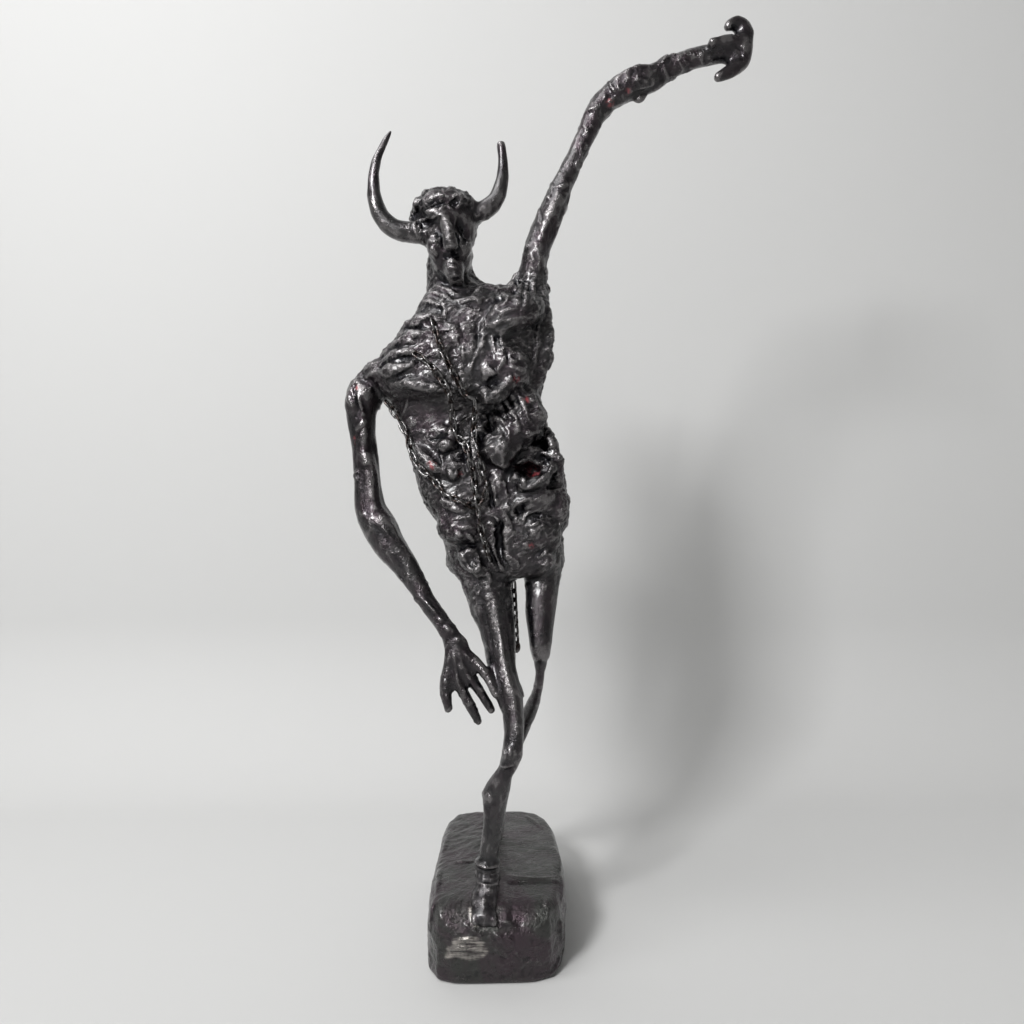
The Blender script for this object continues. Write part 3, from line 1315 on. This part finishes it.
def bronze(name, patina, cast_skin, worn=None, **colours):
    """A patinated bronze with its own colours. Worn names an attribute where it is rubbed bright."""
    made, shader, n = material(name)
    place = n.add("TexCoord").outputs["Object"]
    ridge = n.add("Attribute", {"attribute_name": "ridge"}).outputs["Fac"]
    colour = group_node(n, patina)
    n.feed(colour, "Place", place)
    n.feed(colour, "Ridge", ridge)
    n.feed(colour, "Shade", n.add("Attribute", {"attribute_name": "shade"}).outputs["Fac"])
    for label, value in colours.items():
        n.feed(colour, label, value)
    skin = group_node(n, cast_skin)
    n.feed(skin, "Place", place)
    n.feed(shader, "Normal", skin.outputs["Normal"])
    shading = n.noise(place, 70.0, 4.0, 0.6)
    rough = n.span(shading, 0.3, 0.7, 0.24, 0.38)
    rough = n.math("SUBTRACT", rough, n.math("MULTIPLY", colour.outputs["Rubbed mask"], 0.06))
    rough = n.math("ADD", rough, n.math("MULTIPLY", colour.outputs["Rust mask"], 0.4))
    base_colour = colour.outputs["Color"]
    if worn:
        bright = n.add("Attribute", {"attribute_name": worn}).outputs["Fac"]
        stretched = n.add("VectorMath", {"operation": "MULTIPLY"})
        n.feed(stretched, "0", place)
        n.feed(stretched, "1", (60.0, 400.0, 700.0))
        streaks = n.noise(stretched.outputs[0], 1.0, 4.0, 0.6)
        scraped = n.math("ADD", streaks, n.math("MULTIPLY", bright, 0.25))
        bright = n.math("MULTIPLY", n.span(scraped, 0.48, 0.86), n.span(bright, 0.1, 0.9), True)
        base_colour = n.mix(bright, base_colour, WORN_COLOUR)
    else:
        n.feed(colour, "Rust", n.add("Attribute", {"attribute_name": "rust"}).outputs["Fac"])
        n.feed(skin, "Roughness", n.add("Attribute", {"attribute_name": "rough"}).outputs["Fac"])
    n.feed(shader, "Base Color", base_colour)
    n.feed(shader, "Roughness", rough)
    n.feed(shader, "Metallic", n.math("SUBTRACT", 0.85, n.math("MULTIPLY", colour.outputs["Rust mask"], 0.8)))
    shader.inputs["Coat Weight"].default_value = 0.45
    shader.inputs["Coat Roughness"].default_value = 0.18
    return made


def steel(cast_skin):
    """Dull grey steel with brown rust between the links."""
    made, shader, n = material("chain steel")
    place = n.add("TexCoord").outputs["Object"]
    rusty = n.span(n.noise(place, 120.0, 4.0, 0.6), 0.44, 0.58)
    n.feed(shader, "Base Color", n.mix(rusty, (0.21, 0.205, 0.205, 1), (0.035, 0.027, 0.025, 1)))
    n.feed(shader, "Roughness", n.span(n.noise(place, 300.0), 0.3, 0.7, 0.18, 0.34))
    shader.inputs["Metallic"].default_value = 1.0
    skin = group_node(n, cast_skin)
    n.feed(skin, "Place", place)
    n.feed(skin, "Height", 0.35)
    n.feed(shader, "Normal", skin.outputs["Normal"])
    return made


def plain(name, colour):
    """A pale matt paper with the faintest clouding."""
    made, shader, n = material(name)
    place = n.add("TexCoord").outputs["Object"]
    cloud = n.noise(place, 1.2, 2.0)
    darker = tuple(0.97 * value for value in colour)
    n.feed(shader, "Base Color", n.mix(cloud, (*colour, 1), (*darker, 1)))
    shader.inputs["Roughness"].default_value = 0.85
    return made


def make_stage():
    """A pale sheet that is the floor and sweeps up behind."""
    width, near, back, height, sweep = 6.0, -2.2, 0.52, 3.2, 0.24
    depth = back - sweep - near
    bpy.ops.object.select_all(action="DESELECT")
    bpy.ops.mesh.primitive_plane_add(size=1.0, location=(0.0, 0.0, 0.0))
    sheet = bpy.context.object
    sheet.name = "backdrop"
    for vert in sheet.data.vertices:
        vert.select = vert.co.y > 0
    bpy.ops.object.mode_set(mode="EDIT")
    bpy.ops.mesh.select_mode(type="EDGE")
    for step in range(16):
        low, high = (math.radians(90) * (step + k) / 16 for k in (0, 1))
        back_by = sweep * (math.sin(high) - math.sin(low)) / depth
        move = (0.0, back_by, sweep * (math.cos(low) - math.cos(high)))
        bpy.ops.mesh.extrude_region_move(TRANSFORM_OT_translate={"value": move})
    bpy.ops.mesh.extrude_region_move(TRANSFORM_OT_translate={"value": (0.0, 0.0, height - sweep)})
    bpy.ops.mesh.select_all(action="SELECT")
    bpy.ops.transform.resize(value=(width, depth, 1.0), center_override=(0.0, 0.0, 0.0))
    bpy.ops.transform.translate(value=(0.0, near + depth / 2, 0.0))
    bpy.ops.object.mode_set(mode="OBJECT")
    bpy.ops.object.shade_smooth()
    sheet.data.materials.append(plain("backdrop paper", (0.59, 0.59, 0.585)))


def area_light(name, place, target, size, power):
    data = bpy.data.lights.new(name, "AREA")
    data.shape = "RECTANGLE"
    data.size = data.size_y = size
    data.energy = power
    light = bpy.data.objects.new(name, data)
    bpy.context.scene.collection.objects.link(light)
    light.location = place
    light.rotation_euler = (Vector(target) - Vector(place)).to_track_quat("-Z", "Y").to_euler()


def make_light():
    world = bpy.data.worlds.new("studio")
    bpy.context.scene.world = world
    world.use_nodes = True
    world.node_tree.nodes["Background"].inputs["Color"].default_value = (0.93, 0.95, 1.0, 1)
    world.node_tree.nodes["Background"].inputs["Strength"].default_value = 0.13
    area_light("window", (-0.98, -1.33, 1.45), (0.0, 0.0, 0.5), 0.42, 37)
    area_light("ceiling", (-0.85, -0.45, 2.0), (0.0, 0.0, 0.4), 0.9, 18)
    bpy.context.scene.view_settings.view_transform = "Standard"


def make_camera():
    data = bpy.data.cameras.new("camera")
    data.lens = LENS
    data.sensor_width = SENSOR
    camera = bpy.data.objects.new("camera", data)
    bpy.context.scene.collection.objects.link(camera)
    camera.location = CAMERA_PLACE
    camera.rotation_euler = CAMERA_ANGLES
    bpy.context.scene.camera = camera


def finished(piece, made, slot, *nodes):
    """A piece with its material, smooth, riding on the root in place of its nodes."""
    piece.data.materials.clear()
    piece.data.materials.append(made)
    select_only(piece)
    bpy.ops.object.shade_smooth()
    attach(piece, "root")
    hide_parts(*nodes)


make_camera()
make_stage()
make_light()
patina = patina_group()
cast_skin = cast_skin_group()
base, base_skin = make_base()
figure = make_figure(base_skin)
link = link_shape()
chain = make_chain(link, figure)
tail = make_tail(link)
bpy.data.objects.remove(link, do_unlink=True)
figure_bronze = bronze("figure bronze", patina, cast_skin)
base_bronze = bronze(
    "base bronze", patina, cast_skin, worn="worn",
    Skin=(0.042, 0.043, 0.040, 1), Tint=(0.048, 0.033, 0.041, 1), Rubbed=(0.10, 0.096, 0.096, 1),
)
chain_steel = steel(cast_skin)
finished(figure, figure_bronze, "figure_bronze", "figure")
finished(base, base_bronze, "base_bronze", "base")
finished(chain, chain_steel, "chain_steel", "chain")
finished(tail, chain_steel, "chain_steel", "chain_tail")
